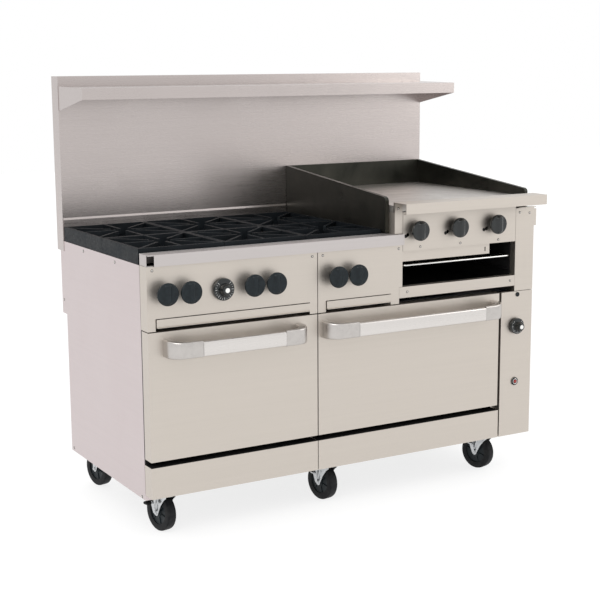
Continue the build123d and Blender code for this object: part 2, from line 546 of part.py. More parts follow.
# ---------------------------------------------------------------------------
# Casters: swivel fork (with its axle and a brake lever) and wheel.
# ---------------------------------------------------------------------------
for name, (cx, cy, ang) in CASTERS.items():
    kingpin = Plane(origin=(sx(cx), sy(cy), 0), x_dir=(math.cos(math.radians(ang)), math.sin(math.radians(ang)), 0), z_dir=(0, 0, 1))
    side = Plane(origin=kingpin.origin, x_dir=kingpin.y_dir, z_dir=kingpin.x_dir)
    with BuildPart() as fork:
        with BuildSketch(kingpin.offset(sz(5.05))):
            Circle(1.20 * IN)
            with Locations((0, 0.9 * IN)):
                Rectangle(1.70 * IN, 1.8 * IN)
        extrude(amount=0.14 * IN)
        with BuildSketch(kingpin.offset(sz(5.19))):
            Circle(1.15 * IN)
        extrude(amount=0.34 * IN)
        for off in (-0.85, 0.72):
            with BuildSketch(side.offset(off * IN)):
                with BuildLine():
                    Polyline([(-0.75 * IN, sz(5.10)), (1.80 * IN, sz(5.10)), (1.80 * IN, sz(4.60)), (1.72 * IN, sz(2.45)), (1.50 * IN, sz(2.12)), (1.10 * IN, sz(2.12)), (0.88 * IN, sz(2.45)), (-0.75 * IN, sz(4.75))], close=True)
                make_face()
            extrude(amount=0.13 * IN)
        with BuildSketch(side.offset(-1.0 * IN)):
            with Locations((TRAIL * IN, sz(WHEEL_R))):
                Circle(5.0)
        extrude(amount=2.0 * IN)
        with BuildSketch(kingpin.offset(sz(4.9))):
            Circle(6.05)
        extrude(amount=1.0 * IN, mode=Mode.SUBTRACT)
    save(fork, f"caster_fork_{name}")
    with BuildPart() as wheel:
        with BuildSketch(side.offset(-WHEEL_W / 2 * IN)):
            with Locations((TRAIL * IN, sz(WHEEL_R))):
                Circle(WHEEL_R * IN)
                Circle(5.05, mode=Mode.SUBTRACT)
        extrude(amount=WHEEL_W * IN)
        rims = wheel.edges().filter_by(GeomType.CIRCLE).group_by(SortBy.RADIUS)[-1]
        fillet(rims, radius=0.22 * IN)
    save(wheel, f"caster_wheel_{name}")
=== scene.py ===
import math

import bpy
import bmesh
from mathutils import Matrix, Vector


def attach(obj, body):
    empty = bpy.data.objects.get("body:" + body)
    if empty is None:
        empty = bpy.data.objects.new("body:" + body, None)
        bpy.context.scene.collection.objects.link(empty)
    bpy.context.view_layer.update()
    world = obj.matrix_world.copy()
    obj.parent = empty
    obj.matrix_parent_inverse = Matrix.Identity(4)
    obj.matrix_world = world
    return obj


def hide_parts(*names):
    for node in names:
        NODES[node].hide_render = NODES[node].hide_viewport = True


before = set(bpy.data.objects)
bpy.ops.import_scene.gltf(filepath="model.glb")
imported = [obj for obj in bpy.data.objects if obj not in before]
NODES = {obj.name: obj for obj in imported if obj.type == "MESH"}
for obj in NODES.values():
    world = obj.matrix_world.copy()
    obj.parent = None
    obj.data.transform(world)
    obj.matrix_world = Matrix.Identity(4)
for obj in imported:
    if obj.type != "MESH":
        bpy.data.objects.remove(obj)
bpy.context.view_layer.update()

# Stations are in inches: X 0-60 along the range, Y 0 at the doors, Z 0 at the floor.
IN = 0.0254
XC, YC = 30.16, 14.115


def P(x, y, z):
    return Vector(((x - XC) * IN, (y - YC) * IN, z * IN))


bpy.context.scene.view_settings.view_transform = "Standard"


# ---------------------------------------------------------------------------
# Materials
# ---------------------------------------------------------------------------
class Mat:
    """A Principled material with a few node helpers; textures use object coordinates in metres."""

    def __init__(self, name, color, rough, metal=0.0, **sockets):
        self.m = bpy.data.materials.new(name)
        self.m.use_nodes = True
        self.nt = self.m.node_tree
        self.nt.nodes.clear()
        out = self.nt.nodes.new("ShaderNodeOutputMaterial")
        self.b = self.nt.nodes.new("ShaderNodeBsdfPrincipled")
        self.nt.links.new(self.b.outputs[0], out.inputs["Surface"])
        self.b.inputs["Base Color"].default_value = (*color, 1)
        self.b.inputs["Roughness"].default_value = rough
        self.b.inputs["Metallic"].default_value = metal
        for k, v in sockets.items():
            self.b.inputs[k.replace("_", " ")].default_value = v
        self.color = color
        self.tc = self.nt.nodes.new("ShaderNodeTexCoord")

    def node(self, kind, **props):
        n = self.nt.nodes.new(kind)
        for k, v in props.items():
            setattr(n, k, v)
        return n

    def link(self, a, b):
        self.nt.links.new(a, b)

    def coords(self, scale):
        mp = self.node("ShaderNodeMapping")
        mp.inputs["Scale"].default_value = scale
        self.link(self.tc.outputs["Object"], mp.inputs["Vector"])
        return mp.outputs["Vector"]

    def noise(self, scale=(1, 1, 1), size=1.0, detail=2.0, rough=0.5, distort=0.0):
        n = self.node("ShaderNodeTexNoise")
        n.inputs["Scale"].default_value = size
        n.inputs["Detail"].default_value = detail
        n.inputs["Roughness"].default_value = rough
        n.inputs["Distortion"].default_value = distort
        self.link(self.coords(scale), n.inputs["Vector"])
        return n.outputs["Fac"]

    def cells(self, scale=(1, 1, 1), size=1.0, out="Color", feature="F1"):
        n = self.node("ShaderNodeTexVoronoi", feature=feature)
        n.inputs["Scale"].default_value = size
        self.link(self.coords(scale), n.inputs["Vector"])
        return n.outputs[out]

    def ramp(self, fac, lo, hi, a=0.0, b=1.0):
        """Remap a grey value from lo..hi to a..b."""
        r = self.node("ShaderNodeMapRange")
        r.inputs["From Min"].default_value = lo
        r.inputs["From Max"].default_value = hi
        r.inputs["To Min"].default_value = a
        r.inputs["To Max"].default_value = b
        self.link(fac, r.inputs["Value"])
        return r.outputs["Result"]

    def math(self, op, a, b):
        n = self.node("ShaderNodeMath", operation=op)
        for i, v in enumerate((a, b)):
            if isinstance(v, (int, float)):
                n.inputs[i].default_value = v
            else:
                self.link(v, n.inputs[i])
        return n.outputs[0]

    def mix(self, fac, c0, c1):
        n = self.node("ShaderNodeMix", data_type="RGBA")
        self.link(fac, n.inputs["Factor"])
        for sock, c in ((n.inputs[6], c0), (n.inputs[7], c1)):
            if isinstance(c, tuple):
                sock.default_value = (*c, 1) if len(c) == 3 else c
            else:
                self.link(c, sock)
        return n.outputs[2]

    def set_color(self, out):
        self.link(out, self.b.inputs["Base Color"])

    def set_rough(self, out):
        self.link(out, self.b.inputs["Roughness"])

    def bump(self, height, strength=0.1, distance=0.001):
        n = self.node("ShaderNodeBump")
        n.inputs["Strength"].default_value = strength
        n.inputs["Distance"].default_value = distance
        self.link(height, n.inputs["Height"])
        self.link(n.outputs["Normal"], self.b.inputs["Normal"])
        return n


def shade(c, k):
    return tuple(min(1.0, x * k) for x in c)


def grain(axis, along, across):
    s = [across, across, across]
    s["xyz".index(axis)] = along
    return tuple(s)


def stainless(name, color, axis="x", rough=0.30, streak=0.018, smudge=0.04, bump=0.018):
    """Brushed sheet: fine grain along one axis, faint streaks and handling smudges."""
    m = Mat(name, color, rough, 1.0)
    fine = m.noise(grain(axis, 6.0, 1500.0), 1.0, 3.0, 0.65)
    mid = m.noise(grain(axis, 1.6, 130.0), 1.0, 2.0, 0.55)
    big = m.noise((1, 1, 1), 3.1, 3.0, 0.55, 0.4)
    small = m.noise((1, 1, 1), 19.0, 4.0, 0.6, 0.2)
    r = m.math("ADD", m.ramp(fine, 0.3, 0.7, rough - 0.045, rough + 0.045), m.ramp(big, 0.35, 0.7, -smudge * 0.5, smudge))
    r = m.math("ADD", r, m.ramp(small, 0.55, 0.75, 0.0, smudge * 0.6))
    m.set_rough(r)
    tone = m.math("ADD", m.ramp(mid, 0.3, 0.7, 0.0, 0.65), m.ramp(big, 0.3, 0.7, 0.0, 0.35))
    m.set_color(m.mix(tone, shade(color, 1 - streak), shade(color, 1 + streak * 0.6)))
    m.bump(fine, bump, 0.0004)
    return m.m


STEEL = (0.577, 0.530, 0.480)
steel_x = stainless("stainless_brushed_x", STEEL, "x", rough=0.42)
# Side-panel copy of the brushed steel with a lighter, pinker base colour: painted light on the side panels.
steel_y_lit_side = stainless("stainless_brushed_y_lit_side", (0.60, 0.530, 0.530), "y", rough=0.38)
steel_z = stainless("stainless_brushed_z", (0.567, 0.522, 0.471), "z")
# Darker copy of the brushed steel for the back riser and high shelf: painted shade on these parts.
steel_riser_shaded = stainless("stainless_riser_painted_shade", (0.510, 0.462, 0.448), "x", rough=0.27)
steel_ledge = stainless("stainless_ledge", (0.545, 0.512, 0.503), "x", rough=0.50)


def guard_material():
    m = Mat("guard_dark_steel", (0.040, 0.041, 0.035), 0.34, 0.85)
    fine = m.noise((1500, 5, 1500), 1.0, 3.0, 0.6)
    big = m.noise((1, 1, 1), 7.0, 5.0, 0.6, 0.8)
    m.set_rough(m.math("ADD", m.ramp(fine, 0.3, 0.7, 0.26, 0.36), m.ramp(big, 0.3, 0.7, -0.03, 0.10)))
    m.set_color(m.mix(m.ramp(big, 0.3, 0.72), (0.030, 0.031, 0.026), (0.056, 0.055, 0.046)))
    m.bump(fine, 0.06, 0.0004)
    return m.m


def griddle_material():
    """Thick steel plate, ground flat: long grinding lines, a seasoned cast and light circular wear."""
    m = Mat("griddle_polished_plate", (0.36, 0.34, 0.32), 0.30, 1.0)
    lines = m.noise((5, 900, 900), 1.0, 4.0, 0.6)
    stain = m.noise((1, 1, 1), 5.5, 6.0, 0.62, 1.2)
    spots = m.cells((1, 1, 1), 38.0, "Distance")
    m.set_rough(m.math("ADD", m.ramp(lines, 0.3, 0.7, 0.34, 0.46), m.ramp(stain, 0.35, 0.7, -0.04, 0.12)))
    tone = m.math("ADD", m.ramp(stain, 0.3, 0.72, 0.0, 0.8), m.ramp(spots, 0.0, 0.6, 0.2, 0.0))
    m.set_color(m.mix(tone, (0.66, 0.630, 0.600), (0.47, 0.440, 0.415)))
    m.bump(lines, 0.07, 0.0004)
    return m.m


def iron_material(name="cast_iron", color=(0.0085, 0.0105, 0.0125), rough=0.44):
    m = Mat(name, color, rough, 0.0, Specular_IOR_Level=0.10)
    pebble = m.noise((1, 1, 1), 850.0, 3.0, 0.6)
    coarse = m.noise((1, 1, 1), 130.0, 4.0, 0.6)
    burn = m.noise((1, 1, 1), 11.0, 5.0, 0.6, 0.6)
    m.set_rough(m.math("ADD", m.ramp(coarse, 0.3, 0.7, rough - 0.10, rough + 0.10), m.ramp(burn, 0.4, 0.7, 0.0, 0.14)))
    m.set_color(m.mix(m.ramp(burn, 0.32, 0.72), shade(color, 0.8), shade(color, 1.7)))
    h = m.math("ADD", m.ramp(pebble, 0.2, 0.8, 0.0, 0.5), m.ramp(coarse, 0.2, 0.8, 0.0, 0.5))
    m.bump(h, 0.35, 0.0011)
    return m.m


def phenolic_material(name, color, rough, coat):
    m = Mat(name, color, rough, 0.0, Specular_IOR_Level=0.16, Coat_Weight=coat, Coat_Roughness=0.08)
    flow = m.noise((1, 1, 1), 90.0, 4.0, 0.6, 0.5)
    tiny = m.noise((1, 1, 1), 1500.0, 2.0, 0.5)
    m.set_rough(m.math("ADD", m.ramp(flow, 0.3, 0.7, rough - 0.05, rough + 0.08), m.ramp(tiny, 0.3, 0.7, -0.02, 0.04)))
    m.set_color(m.mix(m.ramp(flow, 0.3, 0.7), shade(color, 0.75), shade(color, 1.5)))
    m.bump(tiny, 0.05, 0.0003)
    return m.m


def metal_material(name, color, rough, mottle=0.08, grain_size=700.0, bump=0.05):
    m = Mat(name, color, rough, 1.0)
    tiny = m.noise((1, 1, 1), grain_size, 3.0, 0.6)
    cloud = m.noise((1, 1, 1), 45.0, 4.0, 0.6, 0.4)
    m.set_rough(m.math("ADD", m.ramp(tiny, 0.3, 0.7, rough - 0.04, rough + 0.05), m.ramp(cloud, 0.35, 0.7, -0.02, 0.07)))
    m.set_color(m.mix(m.ramp(cloud, 0.3, 0.7), shade(color, 1 - mottle), shade(color, 1 + mottle * 0.6)))
    m.bump(tiny, bump, 0.0004)
    return m.m


def galvanised_material():
    m = Mat("galvanised_sheet", (0.50, 0.51, 0.52), 0.42, 1.0)
    sp = m.cells((1, 1, 1), 75.0, "Color")
    sep = m.node("ShaderNodeSeparateColor")
    m.link(sp, sep.inputs[0])
    cloud = m.noise((1, 1, 1), 6.0, 4.0, 0.6)
    m.set_rough(m.math("ADD", m.ramp(sep.outputs[0], 0, 1, 0.32, 0.50), m.ramp(cloud, 0.3, 0.7, -0.03, 0.08)))
    m.set_color(m.mix(sep.outputs[1], (0.44, 0.45, 0.465), (0.60, 0.61, 0.615)))
    m.bump(sep.outputs[2], 0.05, 0.0003)
    return m.m


def enamel_material():
    """Porcelain enamel of the oven cavity: deep blue-grey with fine white speckle and a glassy coat."""
    m = Mat("oven_enamel_speckled", (0.020, 0.023, 0.030), 0.24, 0.0, Coat_Weight=0.6, Coat_Roughness=0.10)
    sp = m.cells((1, 1, 1), 420.0, "Distance")
    wave = m.noise((1, 1, 1), 26.0, 3.0, 0.5)
    m.set_color(m.mix(m.ramp(sp, 0.05, 0.16, 1.0, 0.0), (0.018, 0.020, 0.027), (0.30, 0.31, 0.33)))
    m.set_rough(m.ramp(wave, 0.3, 0.7, 0.18, 0.32))
    m.bump(wave, 0.10, 0.001)
    return m.m


def black_material():
    m = Mat("black_oxide_steel", (0.009, 0.009, 0.010), 0.52, 0.0, Specular_IOR_Level=0.12)
    soot = m.noise((1, 1, 1), 14.0, 5.0, 0.62, 0.7)
    fine = m.noise((1, 1, 1), 500.0, 3.0, 0.6)
    m.set_rough(m.math("ADD", m.ramp(soot, 0.3, 0.7, 0.42, 0.66), m.ramp(fine, 0.3, 0.7, -0.04, 0.04)))
    m.set_color(m.mix(m.ramp(soot, 0.35, 0.75), (0.007, 0.007, 0.008), (0.020, 0.019, 0.018)))
    m.bump(fine, 0.12, 0.0006)
    return m.m


def rubber_material():
    m = Mat("wheel_rubber_black", (0.014, 0.0145, 0.016), 0.55, 0.0, Specular_IOR_Level=0.12)
    dust = m.noise((1, 1, 1), 60.0, 5.0, 0.65, 0.4)
    tiny = m.noise((1, 1, 1), 1100.0, 3.0, 0.6)
    m.set_color(m.mix(m.ramp(dust, 0.42, 0.8), (0.009, 0.0095, 0.011), (0.028, 0.028, 0.028)))
    m.set_rough(m.math("ADD", m.ramp(dust, 0.3, 0.7, 0.42, 0.62), m.ramp(tiny, 0.3, 0.7, -0.03, 0.05)))
    m.bump(tiny, 0.15, 0.0005)
    return m.m


def white_material():
    m = Mat("white_print", (0.80, 0.80, 0.78), 0.40)
    w = m.noise((1, 1, 1), 900.0, 3.0, 0.6)
    m.set_color(m.mix(m.ramp(w, 0.3, 0.7), (0.66, 0.66, 0.64), (0.86, 0.86, 0.84)))
    m.set_rough(m.ramp(w, 0.3, 0.7, 0.32, 0.5))
    return m.m


def red_material():
    m = Mat("button_red", (0.27, 0.014, 0.010), 0.32, 0.0, Coat_Weight=0.4, Coat_Roughness=0.12)
    w = m.noise((1, 1, 1), 240.0, 3.0, 0.6)
    m.set_color(m.mix(m.ramp(w, 0.3, 0.7), (0.22, 0.010, 0.008), (0.32, 0.020, 0.012)))
    m.set_rough(m.ramp(w, 0.3, 0.7, 0.26, 0.42))
    return m.m


guard_mat = guard_material()
griddle_mat = griddle_material()
iron = iron_material()
iron_burner = iron_material("cast_iron_burner", (0.040, 0.037, 0.034), 0.60)
phenolic = phenolic_material("phenolic_satin_black", (0.0085, 0.0125, 0.0150), 0.34, 0.10)
phenolic_gloss = phenolic_material("phenolic_gloss_black", (0.0045, 0.0065, 0.0070), 0.14, 0.80)
chrome = metal_material("chrome_plate", (0.78, 0.78, 0.77), 0.09, 0.04, 300.0, 0.02)
zinc = metal_material("zinc_plate_bright", (0.60, 0.61, 0.62), 0.27, 0.14, 420.0, 0.06)
screw_mat = metal_material("screw_steel", (0.62, 0.60, 0.57), 0.22, 0.10, 500.0, 0.04)
cast_satin = metal_material("handle_cast_satin", (0.52, 0.495, 0.475), 0.30, 0.07, 900.0, 0.10)
grip_polish = stainless("handle_grip_polished", (0.66, 0.632, 0.610), "x", rough=0.27, streak=0.03, smudge=0.04)
brass = metal_material("brass_fitting", (0.62, 0.42, 0.16), 0.28, 0.12, 500.0, 0.05)
galv = galvanised_material()
enamel = enamel_material()
black = black_material()
rubber = rubber_material()
white = white_material()
red = red_material()


# ---------------------------------------------------------------------------
# Mesh helpers, in stations
# ---------------------------------------------------------------------------
def frame_of(direction):
    d = Vector(direction).normalized()
    a = Vector((0, 0, 1)) if abs(d.z) < 0.9 else Vector((1, 0, 0))
    u = a.cross(d).normalized()
    return d, u, d.cross(u).normalized()


def join(bm, other):
    me = bpy.data.meshes.new("tmp")
    other.to_mesh(me)
    other.free()
    bm.from_mesh(me)
    bpy.data.meshes.remove(me)


def bevel_all(b, width, segs=2, angle=25.0):
    edges = [e for e in b.edges if len(e.link_faces) == 2 and e.calc_face_angle(0.0) > math.radians(angle)]
    if edges and width > 0:
        bmesh.ops.bevel(b, geom=edges, offset=width * IN, segments=segs, profile=0.5, affect="EDGES", clamp_overlap=True)


def solid(bm, ring0, ring1, bevel=0.0, segs=2):
    """A prism between two matching rings of points (already in metres)."""
    b = bmesh.new()
    a = [b.verts.new(p) for p in ring0]
    c = [b.verts.new(p) for p in ring1]
    n = len(a)
    b.faces.new(a[::-1])
    b.faces.new(c)
    for i in range(n):
        b.faces.new((a[i], a[(i + 1) % n], c[(i + 1) % n], c[i]))
    bmesh.ops.recalc_face_normals(b, faces=b.faces)
    bevel_all(b, bevel, segs)
    join(bm, b)


def box(bm, x0, x1, y0, y1, z0, z1, bevel=0.02, segs=2):
    solid(bm, [P(x0, y0, z0), P(x1, y0, z0), P(x1, y1, z0), P(x0, y1, z0)],
          [P(x0, y0, z1), P(x1, y0, z1), P(x1, y1, z1), P(x0, y1, z1)], bevel, segs)


def prism(bm, pts, axis, a0, a1, bevel=0.02, segs=2):
    """pts are the other two stations in order; axis 'x' takes (y, z), 'y' (x, z), 'z' (x, y)."""
    def at(p, a):
        if axis == "x":
            return P(a, p[0], p[1])
        if axis == "y":
            return P(p[0], a, p[1])
        return P(p[0], p[1], a)
    solid(bm, [at(p, a0) for p in pts], [at(p, a1) for p in pts], bevel, segs)


def lathe(bm, origin, direction, profile, segs=48, caps=True):
    """Turns (radius, distance along direction) points, in inches, about the axis at origin (stations)."""
    o = P(*origin)
    d, u, v = frame_of(direction)
    rings = []
    for r, t in profile:
        c = o + d * (t * IN)
        if r <= 1e-6:
            rings.append([bm.verts.new(c)])
        else:
            rings.append([bm.verts.new(c + (u * math.cos(a) + v * math.sin(a)) * (r * IN)) for a in [2 * math.pi * k / segs for k in range(segs)]])
    faces = []
    for p, q in zip(rings, rings[1:]):
        for k in range(segs):
            j = (k + 1) % segs
            if len(p) == 1 and len(q) == 1:
                continue
            if len(p) == 1:
                faces.append(bm.faces.new((p[0], q[k], q[j])))
            elif len(q) == 1:
                faces.append(bm.faces.new((p[k], q[0], p[j])))
            else:
                faces.append(bm.faces.new((p[k], q[k], q[j], p[j])))
    if caps:
        for ring in (rings[0], rings[-1]):
            if len(ring) > 1:
                faces.append(bm.faces.new(ring))
    bmesh.ops.recalc_face_normals(bm, faces=faces)


def arc(r0, t0, r1, t1, n=5, convex=True):
    """Quarter-round profile points from (r0, t0) to (r1, t1)."""
    pts = []
    for i in range(n + 1):
        a = math.pi / 2 * i / n
        if convex:
            pts.append((r0 + (r1 - r0) * (1 - math.cos(a)), t0 + (t1 - t0) * math.sin(a)))
        else:
            pts.append((r0 + (r1 - r0) * math.sin(a), t0 + (t1 - t0) * (1 - math.cos(a))))
    return pts


def tube(bm, points, radius, segs=12, closed=False):
    """A round wire or pipe along points in stations."""
    pts = [P(*p) for p in points]
    n = len(pts)
    rings = []
    prev = None
    for i, p in enumerate(pts):
        if closed:
            t = (pts[(i + 1) % n] - pts[i - 1]).normalized()
        else:
            t = (pts[min(i + 1, n - 1)] - pts[max(i - 1, 0)]).normalized()
        if prev is None:
            _, u, v = frame_of(t)
        else:
            u = (prev - t * prev.dot(t)).normalized()
            v = t.cross(u)
        prev = u
        rings.append([bm.verts.new(p + (u * math.cos(a) + v * math.sin(a)) * (radius * IN)) for a in [2 * math.pi * k / segs for k in range(segs)]])
    faces = []
    pairs = list(zip(rings, rings[1:])) + ([(rings[-1], rings[0])] if closed else [])
    for p, q in pairs:
        for k in range(segs):
            j = (k + 1) % segs
            faces.append(bm.faces.new((p[k], q[k], q[j], p[j])))
    if not closed:
        faces.append(bm.faces.new(rings[0][::-1]))
        faces.append(bm.faces.new(rings[-1]))
    bmesh.ops.recalc_face_normals(bm, faces=faces)


def rounded(points, radius, n=5):
    """Rounds the corners of an open path of stations."""
    out = [Vector(points[0])]
    for a, b, c in zip(points, points[1:], points[2:]):
        a, b, c = Vector(a), Vector(b), Vector(c)
        r = min(radius, (a - b).length / 2.1, (c - b).length / 2.1)
        p0, p1 = b + (a - b).normalized() * r, b + (c - b).normalized() * r
        for i in range(n + 1):
            t = i / n
            out.append(p0 * (1 - t) ** 2 + b * 2 * t * (1 - t) + p1 * t * t)
    out.append(Vector(points[-1]))
    return out


def smooth(a, b, x):
    t = max(0.0, min(1.0, (x - a) / (b - a)))
    return t * t * (3 - 2 * t)


def piece(name, bm, body, material, replaces=(), angle=32.0):
    me = bpy.data.meshes.new(name)
    bm.normal_update()
    bm.to_mesh(me)
    bm.free()
    me.polygons.foreach_set("use_smooth", [True] * len(me.polygons))
    me.set_sharp_from_angle(angle=math.radians(angle))
    ob = bpy.data.objects.new(name, me)
    bpy.context.scene.collection.objects.link(ob)
    me.materials.append(material)
    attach(ob, body)
    if replaces:
        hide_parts(*replaces)
    return ob


# ---------------------------------------------------------------------------
# CAD nodes that stay: materials
# ---------------------------------------------------------------------------
FINISH = {
    "base_frame": black,
    "side_panel_left": steel_y_lit_side,
    "side_panel_right": steel_y_lit_side,
    "back_panel": galv,
    "back_riser": steel_riser_shaded,
    "high_shelf": steel_riser_shaded,
    "oven_liner_left": enamel,
    "oven_liner_right": enamel,
    "oven_door_left_skin": steel_x,
    "oven_door_right_skin": steel_x,
    "oven_door_left_liner": enamel,
    "oven_door_right_liner": enamel,
    "kick_panels": steel_x,
    "control_panel_left": steel_x,
    "control_panel_middle": steel_x,
    "landing_ledge": steel_ledge,
    "crumb_tray_left": steel_x,
    "crumb_tray_middle": steel_x,
    "burner_support": black,
    "gas_manifold": black,
    "control_column": steel_x,
    "griddle_cabinet": steel_x,
    "griddle_plate": griddle_mat,
    "griddle_guards": guard_mat,
    "griddle_ledge": steel_x,
    "griddle_control_panel": steel_x,
    "broiler_box": black,
    "top_grates_front": iron,
    "top_grates_rear": iron,
}
for node, mat in FINISH.items():
    ob = NODES[node]
    ob.data.materials.clear()
    ob.data.materials.append(mat)


# The broiler's front rail and shutter are bright sheet on a dark box.
ob = NODES["broiler_box"]
ob.data.materials.append(steel_x)
for poly in ob.data.polygons:
    w = ob.matrix_world @ poly.center
    yy, zz = w.y / IN + YC, w.z / IN
    if (yy < 1.09 and zz < 29.43) or (yy < 0.85 and zz > 32.7):
        poly.material_index = 1

# Black strips in the gap between the doors and the kick panels: painted shade.
bm = bmesh.new()
for x0, x1 in ((0.07, 23.93), (24.17, 54.15)):
    box(bm, x0, x1, 0.07, 2.0, 9.925, 9.965, 0.0)
    box(bm, x0, x1, 2.00, 2.06, 9.925, 10.60, 0.0)
piece("sill_painted_shade_strips", bm, "chassis", black)


# ---------------------------------------------------------------------------
# Door handles: two lofted cast ends and a polished grip
# ---------------------------------------------------------------------------
def section(o, i, z0, z1, r, n=5):
    """Rounded rectangle standing between two plan points."""
    o, i = Vector(o), Vector(i)
    w = (i - o).length
    e = (i - o) / w
    r = min(r, w / 2.2)
    pts = []
    for s, z, a0 in ((w - r, z1 - r, 0), (r, z1 - r, 90), (r, z0 + r, 180), (w - r, z0 + r, 270)):
        for k in range(n):
            a = math.radians(a0 + 90 * k / (n - 1))
            q = o + e * (s + r * math.cos(a))
            pts.append(P(q.x, q.y, z + r * math.sin(a)))
    return pts


def loft(bm, rings):
    vs = [[bm.verts.new(p) for p in ring] for ring in rings]
    for p, q in zip(vs, vs[1:]):
        for k in range(len(p)):
            j = (k + 1) % len(p)
            bm.faces.new((p[k], q[k], q[j], p[j]))
    bm.faces.new(vs[0][::-1])
    bm.faces.new(vs[-1])
    bmesh.ops.recalc_face_normals(bm, faces=bm.faces)


def handle_end(bm, x_out, x_in):
    d = 1 if x_in > x_out else -1
    n = 18
    plan = [((x_out, -0.005), (x_out + d * 1.05, -0.005))]
    for k in range(n + 1):
        a = math.pi / 2 * k / n
        plan.append(((x_out + d * 2.0 * (1 - math.cos(a)), -0.7 - 1.96 * math.sin(a)), (x_out + d * (1.05 + 1.75 * (1 - math.cos(a))), -0.7 - 1.36 * math.sin(a))))
    plan.append(((x_in, -2.68), (x_in, -2.09)))
    rings = []
    for k, (o, i) in enumerate(plan):
        t = smooth(0.0, 1.0, k / (len(plan) - 1))
        rings.append(section(o, i, 23.85 + 0.05 * t, 26.15 - 0.20 * t, 0.24))
    b = bmesh.new()
    loft(b, rings)
    join(bm, b)


for side, o0, j0, j1, o1 in (("left", 1.95, 6.20, 17.90, 21.70), ("right", 24.50, 28.87, 49.70, 53.40)):
    bm = bmesh.new()
    handle_end(bm, o0, j0)
    handle_end(bm, o1, j1)
    piece(f"door_handle_{side}_ends", bm, f"door_{side}", cast_satin, [f"oven_door_{side}_handle"], angle=50)
    bm = bmesh.new()
    loft(bm, [section((x, -2.70), (x, -2.06), 23.92, 25.82, 0.29, 9) for x in (j0 + 0.03, j1 - 0.03)])
    piece(f"door_handle_{side}_grip", bm, f"door_{side}", grip_polish, angle=50)


# ---------------------------------------------------------------------------
# Knobs
# ---------------------------------------------------------------------------
BURNER_KNOBS = [(2.17, 31.88), (5.31, 31.86), (14.09, 31.92), (17.24, 31.92), (26.45, 31.92), (29.51, 31.93)]
GRIDDLE_KNOBS = [(39.62, 37.04), (46.22, 37.03), (52.80, 37.05)]
THERMO_LEFT = (10.22, 31.65)
THERMO_RIGHT = (57.05, 22.06)
BUTTON = (57.09, 13.86)


def bar_knob(kx, kz, r, neck, y_back, y_face, y_tip, bar, flank, dome=0.0, y_root=-0.15, segs=96, rings=30):
    """Round knob: a neck, a thick disc with a softened rim, and a grip bar that swells out of its face."""
    bm = bmesh.new()
    prof = [(neck * 1.04, y_root), (neck, y_root - 0.06), (neck, y_back + 0.10), (neck * 1.06, y_back + 0.03), (neck * 1.22, y_back)]
    prof += [(r - 0.09, y_back), (r - 0.03, y_back - 0.03), (r, y_back - 0.09)]
    prof += [(r, y_face + 0.11), (r - 0.02, y_face + 0.05), (r - 0.06, y_face + 0.012), (r - 0.11, y_face)]
    cols = []
    for pr, py in prof:
        cols.append([bm.verts.new(P(kx + pr * math.cos(2 * math.pi * k / segs), py, kz + pr * math.sin(2 * math.pi * k / segs))) for k in range(segs)])

    def face_y(x, z, pr):
        rise = 1 - smooth(bar * 0.5 - flank * 0.35, bar * 0.5 + flank, abs(x))
        rise *= 1 - smooth(r * 0.74, r * 0.91, pr)
        return y_face - dome * (1 - (pr / r) ** 2) + (y_tip - y_face + dome) * rise

    for i in range(1, rings):
        pr = (r - 0.11) * (1 - i / rings)
        cols.append([bm.verts.new(P(kx + pr * math.cos(2 * math.pi * k / segs), face_y(pr * math.cos(2 * math.pi * k / segs), 0, pr), kz + pr * math.sin(2 * math.pi * k / segs))) for k in range(segs)])
    centre = bm.verts.new(P(kx, face_y(0, 0, 0), kz))
    for p, q in zip(cols, cols[1:]):
        for k in range(segs):
            j = (k + 1) % segs
            bm.faces.new((p[k], q[k], q[j], p[j]))
    for k in range(segs):
        bm.faces.new((cols[-1][k], centre, cols[-1][(k + 1) % segs]))
    bm.faces.new(cols[0][::-1])
    bmesh.ops.recalc_face_normals(bm, faces=bm.faces)
    return bm


for i, (kx, kz) in enumerate(BURNER_KNOBS, start=1):
    bm = bar_knob(kx, kz, 1.42, 0.66, -1.22, -1.58, -1.88, 0.50, 0.30)
    piece(f"burner_knob_{i}_moulding", bm, f"knob_{i}", phenolic, [f"burner_knob_{i}"], angle=40)

for i, (kx, kz) in enumerate(GRIDDLE_KNOBS, start=1):
    bm = bar_knob(kx, kz, 1.36, 0.85, -0.75, -1.24, -1.58, 0.62, 0.36, dome=0.05)
    piece(f"griddle_knob_{i}_moulding", bm, f"griddle_knob_{i}", phenolic_gloss, [f"griddle_knob_{i}"], angle=40)


